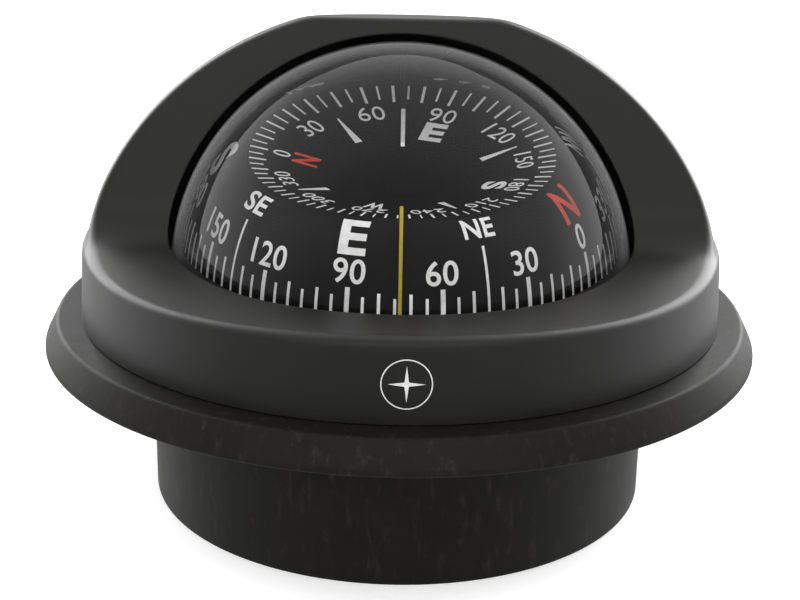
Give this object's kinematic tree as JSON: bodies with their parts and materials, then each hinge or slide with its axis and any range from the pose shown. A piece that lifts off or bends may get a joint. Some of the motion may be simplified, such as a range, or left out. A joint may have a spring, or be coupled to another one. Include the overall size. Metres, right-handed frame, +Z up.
{
  "type": "marine steering compass",
  "caption": "Flush-mount marine compass: clear dome with a gimballed, pivoted card under a black moulded hood, on a flange and can.",
  "frame": {"origin": "centre of the can's lower rim, on the surface that the compass stands on", "axes": "+Z up; +Y towards the bow; the helmsman looks from -Y; +X to starboard"},
  "size_m": [0.17, 0.17, 0.1133],
  "materials": {
    "hood_plastic": "satin black moulded plastic with a fine grain",
    "housing_plastic": "satin black moulded plastic with a fine grain",
    "capsule_plastic": "smooth black moulded plastic",
    "clear_acrylic": "polished clear acrylic",
    "card_black": "flat black, printed white and red",
    "rubber": "matt black",
    "steel": "bright stainless",
    "brass": "turned",
    "magnet_metal": "ground",
    "yellow_paint": "yellow",
    "white_paint": "white",
    "sapphire": "polished synthetic jewel",
    "red_lens": "clear red",
    "board_green": "green lacquer",
    "nylon": "natural nylon"
  },
  "bodies": {
    "root": {"base_plate": "housing_plastic", "base_screw_1": "steel", "base_screw_2": "steel", "base_screw_3": "steel", "base_screw_4": "steel", "bowl": "capsule_plastic", "cable_grommet": "rubber", "capsule_gasket": "rubber", "clamp_ring": "capsule_plastic", "clamp_screw_1": "steel", "clamp_screw_2": "steel", "clamp_screw_3": "steel", "clamp_screw_4": "steel", "compensator_body": "capsule_plastic", "compensator_cover": "capsule_plastic", "deck_gasket": "rubber", "diaphragm": "rubber", "diaphragm_ring": "capsule_plastic", "dome": "clear_acrylic", "filler_plug": "brass", "gimbal_carrier": "capsule_plastic", "hood": "hood_plastic", "housing": "housing_plastic", "lamp_board": "board_green", "lamp_housing": "capsule_plastic", "lamp_lens": "red_lens", "roll_bush_front": "brass", "roll_bush_rear": "brass"},
    "gimbal": {"gimbal_ring": "capsule_plastic", "roll_pin_front": "steel", "roll_pin_rear": "steel", "pitch_pin_left": "steel", "pitch_pin_right": "steel"},
    "cradle": {"cradle": "capsule_plastic", "pitch_bush_left": "brass", "pitch_bush_right": "brass", "ballast_weight": "brass", "pivot_stem": "brass", "pivot_needle": "steel", "lubber_line": "yellow_paint", "top_lubber_arm": "capsule_plastic", "top_lubber": "white_paint"},
    "card": {"card_top": "card_black", "card_skirt": "card_black", "card_float": "capsule_plastic", "magnet_carrier": "capsule_plastic", "magnet_left": "magnet_metal", "magnet_right": "magnet_metal", "jewel_cup": "brass", "jewel": "sapphire"},
    "ns_drive": {"rotor_ns_drive": "nylon", "rotor_ns_drive_magnet": "magnet_metal"},
    "ns_idler": {"rotor_ns_idler": "nylon", "rotor_ns_idler_magnet": "magnet_metal"},
    "ew_drive": {"rotor_ew_drive": "nylon", "rotor_ew_drive_magnet": "magnet_metal"},
    "ew_idler": {"rotor_ew_idler": "nylon", "rotor_ew_idler_magnet": "magnet_metal"}
  },
  "joints": [
    {"name": "roll", "type": "hinge", "parent": "root", "child": "gimbal", "pos_m": [0, 0, 0.0522], "axis": [0, 1, 0], "range_deg": [-25, 25]},
    {"name": "pitch", "type": "hinge", "parent": "gimbal", "child": "cradle", "pos_m": [0, 0, 0.0522], "axis": [1, 0, 0], "range_deg": [-25, 25]},
    {"name": "card_spin", "type": "hinge", "parent": "cradle", "child": "card", "pos_m": [0, 0, 0.0522], "axis": [0, 0, 1], "continuous": true},
    {"name": "ns_drive_turn", "type": "hinge", "parent": "root", "child": "ns_drive", "pos_m": [-0.0071, -0.009, 0.0078], "axis": [0, 0, 1], "continuous": true},
    {"name": "ns_idler_turn", "type": "hinge", "parent": "root", "child": "ns_idler", "pos_m": [0.0071, -0.009, 0.0078], "axis": [0, 0, 1], "continuous": true},
    {"name": "ew_drive_turn", "type": "hinge", "parent": "root", "child": "ew_drive", "pos_m": [-0.0071, 0.009, 0.0078], "axis": [0, 0, 1], "continuous": true},
    {"name": "ew_idler_turn", "type": "hinge", "parent": "root", "child": "ew_idler", "pos_m": [0.0071, 0.009, 0.0078], "axis": [0, 0, 1], "continuous": true}
  ],
  "couplings": [
    {"joint": "ns_idler_turn", "follows": "ns_drive_turn", "ratio": -1},
    {"joint": "ew_idler_turn", "follows": "ew_drive_turn", "ratio": -1}
  ]
}
